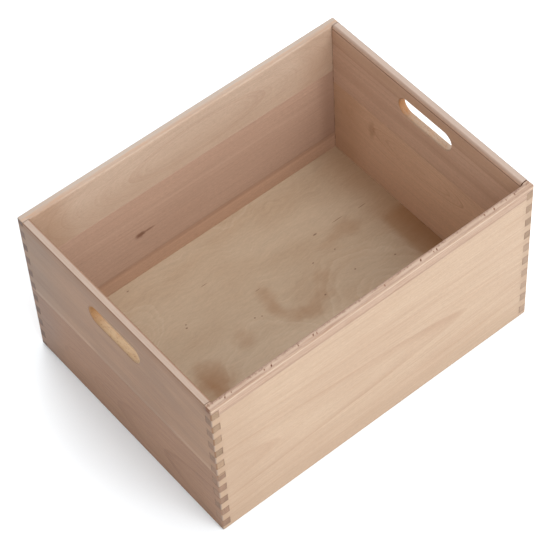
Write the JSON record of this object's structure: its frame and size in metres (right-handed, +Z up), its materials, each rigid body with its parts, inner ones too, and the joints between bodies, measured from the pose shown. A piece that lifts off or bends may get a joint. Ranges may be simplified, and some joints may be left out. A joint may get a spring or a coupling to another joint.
{
  "type": "open wooden crate with hand slots",
  "caption": "Open-topped box with finger-jointed corners, a hand slot in each end wall and an inset plywood floor, for carrying and storing small things.",
  "frame": {"origin": "centre of the base, on the surface that the crate stands on", "axes": "+X along the length, +Y to the back along the width, +Z up out of the open top"},
  "size_m": [0.4, 0.3, 0.205],
  "materials": {
    "beech_pale": "planed, unfinished pale beech with a satin surface",
    "beech_rosy": "planed, unfinished pinkish beech",
    "beech_grey": "planed, unfinished greyish-tan beech",
    "beech_brown": "planed, unfinished reddish-brown beech heartwood",
    "birch_plywood": "sanded rotary-cut birch face veneer with brown blotches"
  },
  "bodies": {
    "root": {"front_main_board": "beech_pale", "front_top_board": "beech_rosy", "back_bottom_board": "beech_brown", "back_middle_board": "beech_rosy", "back_top_board": "beech_pale", "left_bottom_board": "beech_brown", "left_top_board": "beech_grey", "right_bottom_board": "beech_rosy", "right_top_board": "beech_brown", "floor_panel": "birch_plywood"}
  },
  "joints": []
}
